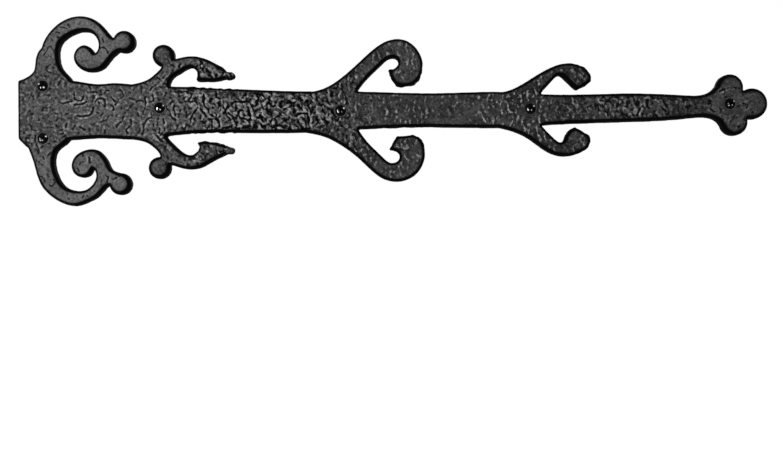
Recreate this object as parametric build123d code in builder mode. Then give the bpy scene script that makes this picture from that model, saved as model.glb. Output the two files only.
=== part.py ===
"""A decorative hinge front: one cast iron strap with scrolls and a trefoil, fixed by six screws.

Millimetres. +X runs along the strap from its butt edge, +Z is up and the flat back lies on Y = 0,
so the strap stands out towards -Y. The origin is the middle of the butt edge, on the back.
"""

import os

from build123d import *

# Casting
strap_length = 457.5  # butt edge to the tip of the finial
plate_thickness = 5.5  # back to front face
edge_bevel = 1.1  # softening of the front edge
butt_top = 18.6  # upper corner of the butt edge
butt_bottom = -16.6  # lower corner of the butt edge

# Where the three pairs of branches leave the strap, measured from the butt edge
fork_1 = 86.6
fork_2 = 196.9
fork_3 = 313.0

# Balls that end the two big scrolls and start the first pair of leaves
ball_radius = 6.6
ball_crown = 1.1  # rise of the domed front over the plate

# Blunt tips of the leaves
leaf_tip_radius = 2.3
leaf_tip_length = 3.0  # between the centres of its two round ends

# Finial: three lobes round a middle disc
lobe_radius = 8.1
lobe_crown = 0.5
tip_radius = 9.3
tip_reach = 13.9  # finial screw to the centre of the last lobe
hub_radius = 10.4
finial_x = strap_length - tip_radius - tip_reach

# Creases where a branch parts from the strap
crease_depth = 1.2

# Screws: raised countersunk heads with a cross recess
head_radius = 3.35
head_rise = 0.9  # dome over the rim of the head
head_sunk = 0.2  # rim below the front face
seat_gap = 0.1  # between the head and its countersink, along the radius
hole_radius = 2.1
shank_radius = 1.3
thread_radius = 1.75
thread_start = 0.5  # behind the back face
screw_length = 25.0  # rim of the head to the point
point_length = 4.0
recess_span = 3.9
recess_foot = 1.3
recess_depth = 1.9
wing_width = 0.9

butt_screw_x = 15.3
butt_screw_top = 15.2
butt_screw_bottom = -16.8
screw_places = [
    (butt_screw_x, butt_screw_top),
    (butt_screw_x, butt_screw_bottom),
    (fork_1, 1.4),
    (fork_2, -1),
    (fork_3 - 0.4, -0.5),
    (finial_x, 1.8),
]
screw_turns = [12, 57, 33, 80, 5, 68]  # degrees that each cross recess ended up at


def cast_bar(x0, *runs):
    """A flat bar, drawn as a closed ring of runs of points with x measured from x0.

    A run of two points is a straight joint inside the metal beside it. A longer run is a smooth
    edge that shows, and its front is bevelled. The ring is lofted from the back to the front.
    """
    with BuildPart() as bar:
        for height in (0, plate_thickness):
            with BuildSketch(Plane.XZ.offset(height)):
                with BuildLine():
                    for run in runs:
                        points = [(x0 + x, z) for x, z in run]
                        if len(points) == 2:
                            Line(*points)
                        else:
                            Spline(*points)
                make_face()
        loft(ruled=True)
        front_edges = bar.faces().sort_by(Axis.Y)[0].edges()
        chamfer(front_edges.filter_by(GeomType.LINE, reverse=True), edge_bevel)
    return bar.part


def boss(radius, length=0):
    """A flat disc on the back plane, about the Y axis, or a slot shape that runs back from it along X.

    Its front edge is bevelled.
    """
    with BuildPart() as disc:
        with BuildSketch(Plane.XZ):
            if length:
                SlotCenterPoint((-length / 2, 0), (0, 0), 2 * radius)
            else:
                Circle(radius)
        extrude(amount=plate_thickness)
        chamfer(disc.faces().sort_by(Axis.Y)[0].edges(), min(edge_bevel, 0.8 * radius))
    return disc.part


def dome(radius, crown):
    """A shallow round cap on the front face, about the Y axis."""
    with BuildPart() as cap:
        with BuildSketch(Plane.XY):
            with BuildLine():
                TangentArc((0, -plate_thickness - crown), (radius, -plate_thickness), tangent=(1, 0))
                Polyline(
                    (radius, -plate_thickness),
                    (0, -plate_thickness),
                    (0, -plate_thickness - crown),
                )
            make_face()
        revolve(axis=Axis.Y)
    return cap.part


# Strap body: butt, neck and the long tapering tail
middle_12 = (fork_1 + fork_2) / 2
middle_23 = (fork_2 + fork_3) / 2
middle_tail = (fork_3 + finial_x) / 2
body = cast_bar(
    0,
    [(0, butt_bottom), (0, 1), (0, butt_top)],
    [(0, butt_top), (6.2, 21.2), (9.6, 24.6), (10.6, 30), (12, 35.5), (15.2, 39)],
    [(15.2, 39), (28, 18.6)],
    [(28, 18.6), (38, 17.7), (50, 16.2), (57, 16.8), (fork_1 - 18.6, 16.1), (fork_1 + 10.4, 14.4),
     (middle_12, 12.3), (fork_2 - 25, 11.1), (fork_2 + 12, 10.7), (middle_23, 9.4), (fork_3 - 19, 10),
     (fork_3 + 12, 8.2), (middle_tail, 8.6), (finial_x - 27, 7.2), (finial_x - 15, 7.8),
     (finial_x - 11, 9.7), (finial_x - 7, 14)],
    [(finial_x - 7, 14), (finial_x - 5, -11)],
    [(finial_x - 5, -11), (finial_x - 9, -7.3), (finial_x - 14, -6), (finial_x - 25, -6.5),
     (middle_tail, -8.4), (fork_3 + 12, -9.9), (fork_3 - 19, -11.5), (middle_23, -10.9), (fork_2 + 11, -12),
     (fork_2 - 26, -13.8), (middle_12, -13.7), (fork_1 + 9.5, -14.7), (fork_1 - 16.5, -17.3), (50, -16.4),
     (38, -17), (28, -17.6)],
    [(28, -17.6), (5.2, -22.1)],
    [(5.2, -22.1), (2.4, -19.4), (0, butt_bottom)],
)

# Big C scrolls beside the butt, each with an inner curl and a short stem for its ball
upper_scroll = cast_bar(
    0,
    [(14.2, 33), (14.4, 38.5), (15.8, 42.5), (21.5, 50.5), (29.7, 56.1), (38, 57.9), (46, 56), (51.7, 51.5),
     (57.2, 45), (61, 42.5)],
    [(61, 42.5), (64, 37.5)],
    [(64, 37.5), (58, 33.6), (55.7, 31), (52.2, 26.7), (45.5, 24.1), (38, 25.9), (34, 32.4), (36.4, 38.3),
     (40.6, 40.1), (44.8, 37.6), (46.4, 34.5)],
    [(46.4, 34.5), (49.3, 39.5), (47.6, 45.3), (44, 48.2), (38.2, 48.8), (31.2, 46.2), (25.8, 41.5),
     (24.4, 34), (25.3, 28.3), (28.2, 23.7), (31.2, 20.5), (33, 15)],
    [(33, 15), (14.2, 33)],
)
lower_scroll = cast_bar(
    0,
    [(5, -18), (5.7, -21.8), (8.4, -29), (10.6, -37), (14.4, -46.3), (20.2, -52.4), (28, -56.8),
     (34.5, -58), (41.5, -55.9), (48.4, -52), (53.9, -46.2), (58, -44.5)],
    [(58, -44.5), (63, -38.6)],
    [(63, -38.6), (59.5, -37.5), (56.6, -36), (54.7, -32.4), (51.7, -27.3), (47.6, -24), (41, -24),
     (35.4, -26.9), (32.3, -33), (34.4, -38.7), (38.3, -40.5), (45.2, -34.9)],
    [(45.2, -34.9), (47.4, -39.7), (44.8, -45.4), (40.2, -48.6), (34, -48.8), (28.2, -46.6), (24.3, -41.8),
     (21.9, -35.5), (21.4, -29.5), (23.3, -23.9), (28.3, -20), (31, -14)],
    [(31, -14), (5, -18)],
)

# First fork: a stem for a ball and a pointed leaf on each side
upper_leaf = cast_bar(
    fork_1,
    [(-20.5, 15.6), (-13.5, 16.7), (-6.8, 19.2), (-2.1, 22.9), (0.7, 26), (1.6, 31)],
    [(1.6, 31), (4.4, 30)],
    [(4.4, 30), (11.5, 31.8), (19, 33), (28.2, 31.1), (37.7, 26), (44, 21.5)],
    [(44, 21.5), (38, 18.5), (32, 17.8), (22.3, 18.4)],
    [(22.3, 18.4), (23, 22.7), (19.8, 26), (12, 23), (7.2, 19.7), (5.6, 16), (6, 8)],
    [(6, 8), (-20.5, 4)],
    [(-20.5, 4), (-20.5, 15.6)],
)
lower_leaf = cast_bar(
    fork_1,
    [(-20.5, -16.9), (-13.5, -17.9), (-8.5, -19.5), (-3.5, -23), (-0.3, -27), (-0.5, -32)],
    [(-0.5, -32), (3, -32)],
    [(3, -32), (11.4, -34.8), (18.1, -36), (25.4, -34.5), (33.4, -30.1), (39, -27.6), (44, -25)],
    [(44, -25), (42, -22.8), (37.5, -21), (33, -19.9), (22.4, -19.7)],
    [(22.4, -19.7), (23, -24.5), (19.3, -27.4), (12.1, -24.8), (7.7, -20.7), (4.2, -17), (1.5, -11)],
    [(1.5, -11), (-20.5, -4)],
    [(-20.5, -4), (-20.5, -16.9)],
)

# Second fork: a hooked scroll on each side
upper_hook = cast_bar(
    fork_2,
    [(-25, 10.6), (-16, 11.1), (-9.6, 13), (1, 19.6), (11, 28.3), (19.8, 36.2), (29.3, 41.8), (39, 42.1),
     (46.4, 36.8), (50.2, 27.6), (48, 18.4), (39, 14.1)],
    [(39, 14.1), (34.3, 14.8), (31.4, 18.3), (29.3, 23.8)],
    [(29.3, 23.8), (32.5, 24.7), (35.3, 27.2), (34.2, 30.8), (30, 31.2), (25.3, 27.8), (17.7, 20.6),
     (11.8, 13.8), (8, 8)],
    [(8, 8), (-25, 4)],
    [(-25, 4), (-25, 10.6)],
)
lower_hook = cast_bar(
    fork_2,
    [(-25, -13.4), (-16, -14.7), (-8, -17.2), (-1.3, -20.8), (8.7, -27.9), (17.3, -36), (26.4, -42.7),
     (36.7, -44), (46.6, -38.9), (51.2, -28), (49.2, -19.6), (44.4, -15.8)],
    [(44.4, -15.8), (39.5, -16.6), (34.4, -16.8)],
    [(34.4, -16.8), (32.2, -20), (29.6, -24.6)],
    [(29.6, -24.6), (32.5, -25.4), (35.8, -27.8), (34.9, -31.7), (30, -32.9), (25.7, -29.7), (17.6, -21.8),
     (11.4, -13.8), (8, -8)],
    [(8, -8), (-25, -4)],
    [(-25, -4), (-25, -13.4)],
)

# Third fork: a short curl with a blunt head on each side
upper_curl = cast_bar(
    fork_3,
    [(-22, 9.6), (-13, 10.9), (0.6, 18.1), (10.5, 23.8), (20, 27.1), (29.5, 26.2), (35.2, 22.4), (37, 16.4)],
    [(37, 16.4), (33.2, 13.7), (28.8, 11.4)],
    [(28.8, 11.4), (21.8, 17), (17.4, 20.1), (13.1, 16.8), (7.4, 10.6), (3, 5)],
    [(3, 5), (-22, 4)],
    [(-22, 4), (-22, 9.6)],
)
lower_curl = cast_bar(
    fork_3,
    [(-22, -11.1), (-13, -13.1), (-1.7, -18), (8, -25.1), (18.5, -29.3), (29, -27.7), (35.2, -23.5),
     (35.6, -17)],
    [(35.6, -17), (31, -14.3), (27, -11.7)],
    [(27, -11.7), (23.9, -13.6), (21.2, -16.9)],
    [(21.2, -16.9), (18.4, -21.1), (12.3, -17), (8, -12.5), (3, -7)],
    [(3, -7), (-22, -4)],
    [(-22, -4), (-22, -11.1)],
)

# Round ends: the balls, the blunt tips of the leaves and the lobes of the finial
ball_places = [(64.7, 0, 42.2), (62, 0, -44.8), (fork_1 + 2.1, 0, 33.5), (fork_1 - 0.6, 0, -35.1)]
leaf_tips = [(fork_1 + 43.2, 0, 21.3), (fork_1 + 42.9, 0, -24.6)]
side_lobes = [(finial_x + 0.4, 0, 11.8), (finial_x + 3, 0, -9.2)]
tip_lobe = (finial_x + tip_reach, 0, 1.9)
hub = (finial_x + 0.8, 0, 1.7)

# Creases in the front face, each from the V of the first fork to where it runs out
creases = [
    ((fork_1 + 6, 15.2), (fork_1 - 2.5, 15)),
    ((fork_1 + 4.9, -15), (fork_1 - 2.5, -12.6)),
]

# Strap: everything above in one casting
with BuildPart() as strap:
    add(body)
    add([upper_scroll, lower_scroll, upper_leaf, lower_leaf, upper_hook, lower_hook, upper_curl, lower_curl])
    with Locations(*ball_places):
        add(boss(ball_radius))
        add(dome(ball_radius - edge_bevel, ball_crown))
    with Locations(*leaf_tips):
        add(boss(leaf_tip_radius, leaf_tip_length))
    with Locations(*side_lobes):
        add(boss(lobe_radius))
        add(dome(lobe_radius - edge_bevel, lobe_crown))
    with Locations(tip_lobe):
        add(boss(tip_radius))
        add(dome(tip_radius - edge_bevel, lobe_crown))
    with Locations(hub):
        add(boss(hub_radius))
    for (x_start, z_start), (x_end, z_end) in creases:
        foot = Vector(x_start, crease_depth - plate_thickness, z_start)
        run = Vector(x_end, -plate_thickness, z_end) - foot
        outward = run.cross(Vector(0, -1, 0)).cross(run)
        with Locations(Plane(foot, x_dir=run, z_dir=outward)):
            Box(
                run.length,
                2 * crease_depth,
                2 * crease_depth,
                rotation=(45, 0, 0),
                align=Align.MIN,
                mode=Mode.SUBTRACT,
            )
    with Locations(Plane.XZ.offset(plate_thickness)):
        with Locations(*screw_places):
            CounterSinkHole(hole_radius, head_radius + head_sunk + seat_gap, counter_sink_angle=90)

# Screw, about the Y axis, with its thread as a plain cylinder
rim_y = head_sunk - plate_thickness
head_foot_y = rim_y + head_radius - shank_radius
tip_y = rim_y + screw_length
with BuildPart() as screw:
    with BuildSketch(Plane.XY):
        with BuildLine():
            TangentArc((0, rim_y - head_rise), (head_radius, rim_y), tangent=(1, 0))
            Polyline(
                (head_radius, rim_y),
                (shank_radius, head_foot_y),
                (shank_radius, thread_start),
                (thread_radius, thread_start),
                (thread_radius, tip_y - point_length),
                (0, tip_y),
                (0, rim_y - head_rise),
            )
        make_face()
    revolve(axis=Axis.Y)
    recess_foot_y = rim_y - head_rise + recess_depth
    for turn in (0, 90):
        with BuildSketch(Plane.XY.rotated((0, turn, 0))):
            with BuildLine():
                Polyline(
                    (-recess_span / 2, rim_y - head_rise),
                    (recess_span / 2, rim_y - head_rise),
                    (recess_foot / 2, recess_foot_y),
                    (-recess_foot / 2, recess_foot_y),
                    close=True,
                )
            make_face()
        extrude(amount=wing_width / 2, both=True, mode=Mode.SUBTRACT)

with BuildPart() as screws:
    for (x, z), turn in zip(screw_places, screw_turns):
        with Locations((x, 0, z)):
            add(screw.part, rotation=(0, turn, 0))

os.makedirs("parts", exist_ok=True)
strap.part.label = "strap"
export_step(strap.part, "parts/strap.step")
screws.part.label = "screws"
export_step(screws.part, "parts/screws.step")
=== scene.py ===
import math

import bmesh
import bpy
from mathutils import Matrix, Vector


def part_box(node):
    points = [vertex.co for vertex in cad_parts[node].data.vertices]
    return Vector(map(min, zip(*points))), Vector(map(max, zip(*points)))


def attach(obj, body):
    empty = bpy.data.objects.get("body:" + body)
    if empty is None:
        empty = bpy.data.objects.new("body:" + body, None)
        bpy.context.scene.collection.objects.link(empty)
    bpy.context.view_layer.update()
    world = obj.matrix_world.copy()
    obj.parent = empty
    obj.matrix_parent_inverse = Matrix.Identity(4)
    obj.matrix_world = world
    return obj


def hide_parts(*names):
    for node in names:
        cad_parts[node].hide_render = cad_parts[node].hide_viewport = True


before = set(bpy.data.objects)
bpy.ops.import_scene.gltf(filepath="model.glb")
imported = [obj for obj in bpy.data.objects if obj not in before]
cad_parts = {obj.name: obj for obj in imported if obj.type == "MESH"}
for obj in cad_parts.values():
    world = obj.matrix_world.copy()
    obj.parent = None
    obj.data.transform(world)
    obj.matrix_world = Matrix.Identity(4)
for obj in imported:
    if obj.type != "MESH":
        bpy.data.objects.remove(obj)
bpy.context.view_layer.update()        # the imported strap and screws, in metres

mm = 0.001
weldReach = 0.002 * mm   # points nearer than this are one
noiseRange = (0.3, 0.7)  # most values of a noise texture lie between these
print("frame loaded:", sorted(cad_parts))


def hexColour(text):  # sRGB hex to linear RGBA
    parts = [int(text[i:i + 2], 16) / 255 for i in (1, 3, 5)]
    return [c / 12.92 if c <= 0.04045 else ((c + 0.055) / 1.055) ** 2.4 for c in parts] + [1]


def plug(tree, node, wires):  # each input takes a wire or a value
    for socket, value in wires.items():
        if isinstance(value, bpy.types.NodeSocket):
            tree.links.new(value, node.inputs[socket])
        else:
            node.inputs[socket].default_value = value


def addNode(tree, kind, wires=None, points=None, **settings):  # returns the new node's outputs
    made = tree.nodes.new(kind)
    for name, value in settings.items():
        setattr(made, name, value)
    plug(tree, made, wires or {})
    if points:  # a float curve's own points
        line = made.mapping.curves[0].points
        line[0].location, line[1].location = points[0], points[-1]
        for place in points[1:-1]:
            line.new(*place)
        made.mapping.update()
    return made.outputs


def spans(given, result=(0.0, 1.0), unit=1.0):  # the four ends of a map range
    return {1: given[0] * unit, 2: given[1] * unit, 3: result[0], 4: result[1]}


def startTree(name, inputs):  # a geometry tree with named inputs
    tree = bpy.data.node_groups.new(name, "GeometryNodeTree")
    tree.interface.new_socket("Geometry", in_out="OUTPUT", socket_type="NodeSocketGeometry")
    tree.interface.new_socket("Geometry", in_out="INPUT", socket_type="NodeSocketGeometry")
    for label, kind in inputs.items():
        tree.interface.new_socket(label, in_out="INPUT", socket_type="NodeSocket" + kind)
    return tree, tree.nodes.new("NodeGroupInput").outputs, tree.nodes.new("NodeGroupOutput").inputs


def hangTree(piece, tree, values):  # inputs go in by identifier, before anything is evaluated
    modifier = piece.modifiers.new(tree.name, "NODES")
    modifier.node_group = tree
    for item in tree.interface.items_tree:
        if item.name in values:
            modifier[item.identifier] = values[item.name]


def makePlain(piece):  # the modifiers' result becomes the piece's own mesh
    depsgraph = bpy.context.evaluated_depsgraph_get()
    mesh = bpy.data.meshes.new_from_object(
        piece.evaluated_get(depsgraph), preserve_all_data_layers=True, depsgraph=depsgraph
    )
    piece.modifiers.clear()
    piece.data = mesh
    return mesh


def newPiece(name, mesh):
    piece = bpy.data.objects.new(name, mesh)
    bpy.context.collection.objects.link(piece)
    return piece


def newMesh(name, points, edges=(), faces=()):
    mesh = bpy.data.meshes.new(name)
    mesh.from_pydata(points, edges, faces)
    return mesh


def shapeToMesh(shape, name):
    mesh = bpy.data.meshes.new(name)
    shape.to_mesh(mesh)
    shape.free()
    return mesh


def weld(mesh, name):  # a copy with the points that lie on each other joined
    shape = bmesh.new()
    shape.from_mesh(mesh)
    bmesh.ops.remove_doubles(shape, verts=shape.verts, dist=weldReach)
    return shapeToMesh(shape, name)


def newMaterial(name):
    material = bpy.data.materials.new(name)
    material.use_nodes = True
    tree = material.node_tree
    return material, tree, tree.nodes["Principled BSDF"]


def coat(tree, shader, look, tone, roughness, grain):  # a coating with a fine grain
    bump = addNode(tree, "ShaderNodeBump", {"Height": grain, "Strength": look["grainStrength"],
                                            "Distance": look["grainHeight"] * mm})[0]
    plug(tree, shader, {"Base Color": tone, "Roughness": roughness, "Normal": bump,
                        "Specular IOR Level": look["shine"]})


# Black satin coating on the cast front, with light and shade painted into its colour: a painted highlight, grey, on
# the crests, and painted shade, ink black, in the pits and along the rim
frontLook = {
    # painted highlight on the crests of the relief
    "crest": "#a8a8a9",
    # the lighter and the darker field, mixed along the strap: partly painted light fading away from the soft box,
    # partly tone
    "field": "#464647",
    "darkField": "#2d2d2e",
    # painted shade, black, in the pits and along the rim
    "pit": "#010101",
    "length": 457.5,             # mm
    # from the butt edge, 0, to the tip of the finial, 1: share of the lighter field, partly painted light that fades
    # along the strap away from the soft box at the butt end and partly tone that differs along it, blackness of the
    # pits, and how far the dark rim reaches in over the front, both painted shade
    "lightShare": [(0, 0.74), (0.05, 0.8), (0.09, 1), (0.16, 1), (0.2, 0.82), (0.27, 0.5), (0.33, 0.17), (0.42, 0.29),
                   (0.6, 0.38), (0.72, 0.12), (0.9, 0.12), (0.94, 1), (1, 1)],
    "pitShare": [(0, 0.88), (0.2, 0.88), (0.28, 1), (0.42, 1), (0.48, 0.6), (0.72, 0.6), (0.8, 0.9), (1, 0.9)],
    "rimShare": [(0, 0.3), (0.4, 0.3), (0.46, 0.05), (0.62, 0.05), (0.7, 0.3), (0.78, 1), (1, 1)],
    "rimShift": (-0.012, 0.028),
    "rim": (0.965, 0.875),       # how squarely the ground faces forward, where the rim of painted shade starts and is black
    "high": (0.01, 0.18),        # mm over the ground, where the painted highlight of the crests starts and is full
    "low": (-0.016, -0.058),     # mm under the ground, where the painted shade of a pit starts and is black
    "mottleSize": 9.0,           # mm
    "mottle": (0.4, 0.7),
    "patches": (0.0, 0.15),      # share of crest in the patches of the mottle
    "scrollLift": (0.0, 0.14),   # the scrolls are a little lighter
    "scrollSide": (20, 34),      # mm from the middle line
    "scrollEnd": (82, 66),       # mm along the strap
    "grainSize": 0.7,            # mm, coarser than the real grit so that it shows
    "grainHeight": 0.05,         # mm
    "grainStrength": 0.6,
    "speckSize": 1.0,            # mm, specks in the coating, clearest on the plain scrolls
    "specks": 0.45,              # how much lighter or darker they are, as a share
    "roughness": (0.38, 0.55),
    "pitRoughness": 0.8,
    "shine": 0.04,
}


def makeFrontMaterial():
    look = frontLook
    material, tree, shader = newMaterial("castIronSatinBlack")
    where = addNode(tree, "ShaderNodeTexCoord")["Object"]
    relief = addNode(tree, "ShaderNodeAttribute", attribute_name="relief")["Fac"]
    edge = addNode(tree, "ShaderNodeAttribute", attribute_name="rim")["Fac"]
    noise = {name: addNode(tree, "ShaderNodeTexNoise",
                           {"Vector": where, "Scale": 1 / (look[name + "Size"] * mm), "Detail": detail})[0]
             for name, detail in (("mottle", 4), ("grain", 3), ("speck", 1))}
    split = addNode(tree, "ShaderNodeSeparateXYZ", {0: where})
    along = addNode(tree, "ShaderNodeMath", {0: split["X"], 1: look["length"] * mm}, operation="DIVIDE")[0]
    share = {name: addNode(tree, "ShaderNodeFloatCurve", {"Value": along}, look[name + "Share"])[0]
             for name in ("light", "pit", "rim")}

    # painted highlight, lighter on the crests; lighter also in the mottle's patches and on the scrolls
    high = addNode(tree, "ShaderNodeMapRange", {0: relief} | spans(look["high"], unit=mm))[0]
    patch = addNode(tree, "ShaderNodeMapRange", {0: noise["mottle"]} | spans(look["mottle"], look["patches"]))[0]
    outFrom = addNode(tree, "ShaderNodeMath", {0: split["Z"]}, operation="ABSOLUTE")[0]
    lighterTone = addNode(tree, "ShaderNodeMapRange", {0: outFrom} | spans(look["scrollSide"], look["scrollLift"], mm))[0]
    butt = addNode(tree, "ShaderNodeMapRange", {0: split["X"]} | spans(look["scrollEnd"], unit=mm))[0]
    patch = addNode(tree, "ShaderNodeMath", {0: lighterTone, 1: butt, 2: patch}, operation="MULTIPLY_ADD")[0]
    lift = addNode(tree, "ShaderNodeMath", {0: high, 1: patch}, operation="MAXIMUM")[0]

    # painted shade, black in the pits and along the rim
    low = addNode(tree, "ShaderNodeMapRange", {0: relief} | spans(look["low"], unit=mm))[0]
    low = addNode(tree, "ShaderNodeMath", {0: low, 1: share["pit"]}, operation="MULTIPLY")[0]
    shift = addNode(tree, "ShaderNodeMapRange", {0: share["rim"]} | spans((0, 1), look["rimShift"]))[0]
    edge = addNode(tree, "ShaderNodeMath", {0: edge, 1: shift}, operation="SUBTRACT")[0]
    rim = addNode(tree, "ShaderNodeMapRange", {0: edge} | spans(look["rim"]))[0]
    sink = addNode(tree, "ShaderNodeMath", {0: low, 1: rim}, operation="MAXIMUM")[0]

    # field along the strap partly painted light; crest as painted highlight; pit and rim as painted shade
    tone = hexColour(look["darkField"])
    for factor, colour in ((share["light"], "field"), (lift, "crest"), (sink, "pit")):
        tone = addNode(tree, "ShaderNodeMix", {0: factor, 6: tone, 7: hexColour(look[colour])}, data_type="RGBA")[2]
    speck = addNode(tree, "ShaderNodeMapRange",
                    {0: noise["speck"]} | spans(noiseRange, (1 - look["specks"], 1 + look["specks"])))[0]
    tone = addNode(tree, "ShaderNodeMix", {0: 1.0, 6: tone, 7: speck}, data_type="RGBA", blend_type="MULTIPLY")[2]
    rough = addNode(tree, "ShaderNodeMapRange", {0: noise["grain"]} | spans(noiseRange, look["roughness"]))[0]
    rough = addNode(tree, "ShaderNodeMix", {0: sink, 2: rough, 3: look["pitRoughness"]}, data_type="FLOAT")[0]
    coat(tree, shader, look, tone, rough, noise["grain"])
    return material


# The same coating on the sand-cast sides, thick, matt and nearly without any shine, its colour near black as painted
# shade on the flanks
sideLook = {
    # near black: painted shade on the sides
    "field": "#030303",
    "dust": "#0c0c0d",
    "grainSize": 1.1,       # mm
    "grainHeight": 0.08,
    "grainStrength": 0.5,
    "roughness": 0.75,
    "shine": 0.02,
}


def makeSideMaterial():
    look = sideLook
    material, tree, shader = newMaterial("castIronSidePaintedShade")
    where = addNode(tree, "ShaderNodeTexCoord")["Object"]
    grain = addNode(tree, "ShaderNodeTexNoise",
                    {"Vector": where, "Scale": 1 / (look["grainSize"] * mm), "Detail": 4})[0]
    tone = addNode(tree, "ShaderNodeMix", {0: grain, 6: hexColour(look["field"]), 7: hexColour(look["dust"])},
                   data_type="RGBA")[2]
    coat(tree, shader, look, tone, look["roughness"], grain)
    return material


# The back, which nobody sees once it is fixed: one thin coat, greyer and patchy, over the sand-cast face
backLook = {
    "field": "#262627",
    "thin": "#3b3b3c",
    "patchSize": 16.0,      # mm
    "patches": (0.4, 0.65),
    "grainSize": 1.3,
    "grainHeight": 0.1,
    "grainStrength": 0.7,
    "roughness": 0.6,
    "shine": 0.1,
}


def makeBackMaterial():
    look = backLook
    material, tree, shader = newMaterial("castIronThinBlackBack")
    where = addNode(tree, "ShaderNodeTexCoord")["Object"]
    patch, grain = (addNode(tree, "ShaderNodeTexNoise",
                            {"Vector": where, "Scale": 1 / (look[name] * mm), "Detail": detail})[0]
                    for name, detail in (("patchSize", 5), ("grainSize", 3)))
    thin = addNode(tree, "ShaderNodeMapRange", {0: patch} | spans(look["patches"]))[0]
    tone = addNode(tree, "ShaderNodeMix", {0: thin, 6: hexColour(look["field"]), 7: hexColour(look["thin"])},
                   data_type="RGBA")[2]
    coat(tree, shader, look, tone, look["roughness"], grain)
    return material


# Black japanned steel: a thin varnish, so the heads are black, with bright bare-steel chips where the driver slipped,
# placed so that they give the heads their painted glints
screwLook = {
    "field": "#030303",
    "lighterTone": "#0c0c0d",
    "wearSize": 1.4,        # mm
    # bare steel, bright: the painted glints on the heads
    "chip": "#e4e4e4",
    "roughness": (0.22, 0.4),
    "shine": 0.02,
}


def makeScrewMaterial():
    look = screwLook
    material, tree, shader = newMaterial("japannedBlackSteel")
    where = addNode(tree, "ShaderNodeTexCoord")["Object"]
    wear = addNode(tree, "ShaderNodeTexNoise",
                   {"Vector": where, "Scale": 1 / (look["wearSize"] * mm), "Detail": 3})[0]
    tone = addNode(tree, "ShaderNodeMix", {0: wear, 6: hexColour(look["field"]), 7: hexColour(look["lighterTone"])},
                   data_type="RGBA")[2]
    chipGlints = addNode(tree, "ShaderNodeAttribute", attribute_name="chip")["Fac"]
    tone = addNode(tree, "ShaderNodeMix", {0: chipGlints, 6: tone, 7: hexColour(look["chip"])}, data_type="RGBA")[2]
    rough = addNode(tree, "ShaderNodeMapRange", {0: wear} | spans(noiseRange, look["roughness"]))[0]
    plug(tree, shader, {"Base Color": tone, "Metallic": chipGlints, "Roughness": rough,
                        "Specular IOR Level": look["shine"]})
    return material


# Screws, from the tips of the six solids
screwCut = {
    "headRise": 0.9,        # mm, dome over the rim of the head
    "domeRings": 20,
    "rimBand": 0.12,        # mm, behind the rim, where the head draws in a little
    "rimDraw": 0.02,
    "shankRadius": 1.3,
    "shankEnd": 0.5,        # mm before the thread
    "rootEnd": 0.1,
    "threadRadius": 1.75,
    "rootRadius": 1.15,
    "threadPitch": 1.35,
    "threadSharpness": 3.2,
    "threadStart": 0.5,     # mm behind the back face
    "ringStep": 0.19,       # mm between the rings of the thread
    "lastRing": 0.1,        # mm before the point
    "pointLength": 4.0,
    "recessSpan": 3.9,
    "recessFoot": 1.3,
    "recessDepth": 1.9,
    "recessFlare": 0.5,     # mm wider where the cutter stands clear of the head
    "recessClear": 0.3,
    "wingWidth": 0.9,
    "turns": [12, 57, 33, 80, 5, 68],  # degrees that each cross ended up at
    "sides": 40,
    "sharpFrom": 38,        # degrees
    "tipSlack": 0.01,       # mm, by which the six points may differ
    "chipGlintReach": 0.62,      # mm round each of the points below
    "chipGlintCore": 0.6,        # share of it that is bare
    "chipGlintDepth": 0.3,       # mm behind the top of the dome
    # chipped spots on each head, which give its painted glints, as points (x, z) in mm from its middle
    "chipGlints": [
        [(1.1, -0.5), (1.0, -1.0), (-0.6, -1.2), (-2.2, 1.2)],
        [(-1.3, -0.6), (-1.2, -1.1), (0.3, -1.1), (2.1, 1.2)],
        [(-1.3, -0.5), (-1.2, -1.0), (0.6, -1.0), (2.4, 1.4)],
        [(-1.5, -0.2), (-1.4, -0.8), (0.3, -0.8), (2.0, 1.5)],
        [(-1.6, -0.1), (-1.5, -0.8), (0.3, -0.9), (2.1, 1.7)],
        [(-1.2, -0.3), (-1.1, -0.9), (0.7, -1.0), (2.4, 1.6)],
    ],
}
screwLow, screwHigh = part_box("screws")
tips = {(round(v.co.x, 5), round(v.co.z, 5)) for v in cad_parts["screws"].data.vertices
        if v.co.y > screwHigh.y - screwCut["tipSlack"] * mm}
screwPlaces = sorted(tips, key=lambda place: (round(place[0], 3), -place[1]))
print("screw places:", screwPlaces)


def threadRadius(y, angle):  # the outline of the threaded stretch, at one side of the screw
    cut = screwCut
    tip = screwHigh.y / mm
    phase = (y / cut["threadPitch"] - angle / math.tau) % 1
    ridge = max(0, 1 - abs(phase - 0.5) * cut["threadSharpness"])
    grow = min(1, (y - cut["threadStart"]) / cut["threadPitch"])
    radius = cut["rootRadius"] + (cut["threadRadius"] - cut["rootRadius"]) * ridge * grow
    taper = min(1, (tip - y) / cut["pointLength"])
    return radius * taper


def shapeToPiece(shape, name):  # drawn in mm, faces outward
    bmesh.ops.recalc_face_normals(shape, faces=shape.faces)
    bmesh.ops.scale(shape, vec=(mm, mm, mm), verts=shape.verts)
    return newPiece(name, shapeToMesh(shape, name))


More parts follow.
